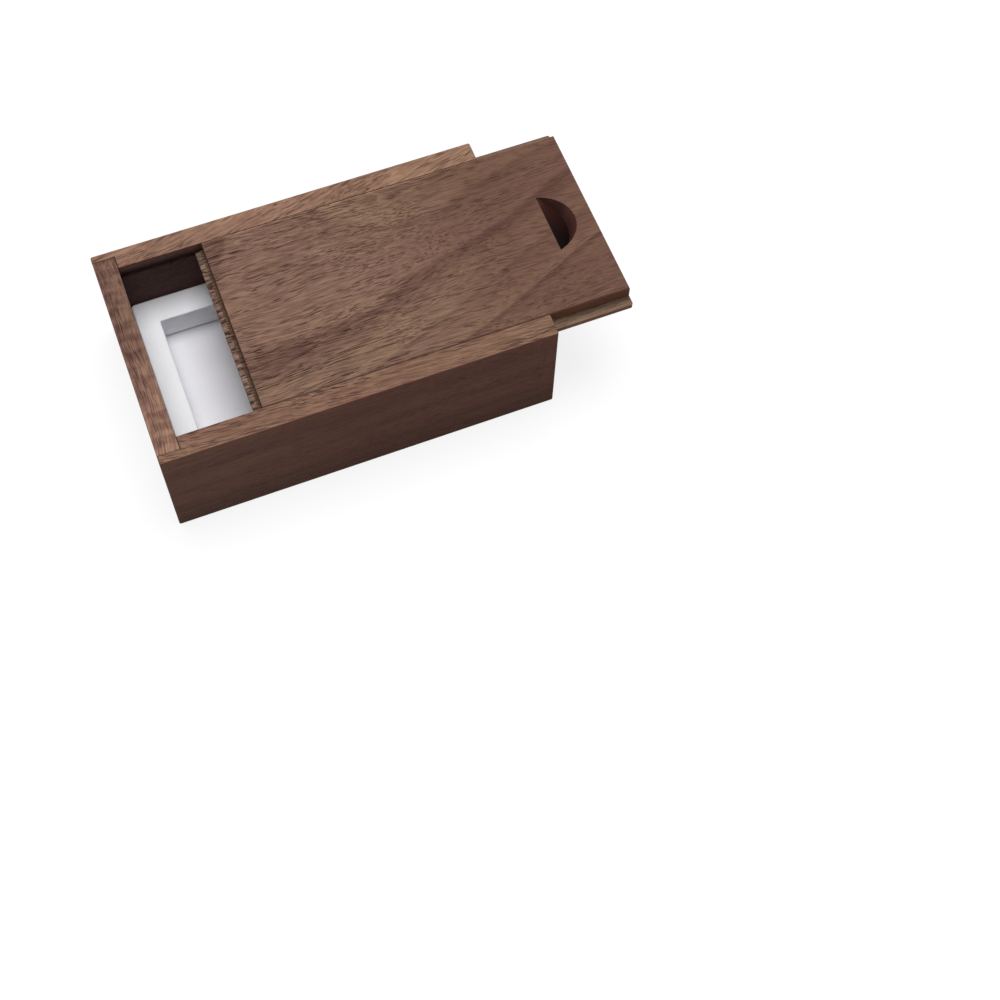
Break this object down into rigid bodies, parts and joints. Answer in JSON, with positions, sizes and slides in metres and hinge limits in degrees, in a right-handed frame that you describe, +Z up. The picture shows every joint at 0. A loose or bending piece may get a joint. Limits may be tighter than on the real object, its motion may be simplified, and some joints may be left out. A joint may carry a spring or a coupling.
{
  "type": "usb drive box",
  "caption": "Small dark walnut box with a tongued lid that slides out at one end, a half-moon thumb notch in the lid and a white foam insert with a pocket for a memory stick.",
  "frame": {"origin": "middle of the box's underside, which is the plane that it stands on", "axes": "+X along the length towards the open end, where the lid slides out; +Y towards the rear wall; +Z up"},
  "size_m": [0.109, 0.055, 0.03],
  "materials": {
    "walnut": "satin",
    "white_foam": "matte"
  },
  "bodies": {
    "box": {"front_side_wall": "walnut", "rear_side_wall": "walnut", "closed_end_wall": "walnut", "open_end_wall": "walnut", "bottom_panel": "walnut", "foam_base": "white_foam", "foam_frame": "white_foam"},
    "lid": {"sliding_lid": "walnut"}
  },
  "joints": [
    {"name": "lid_slide", "type": "slide", "parent": "box", "child": "lid", "axis": [1, 0, 0], "range_m": [-0.019, 0.066]}
  ]
}
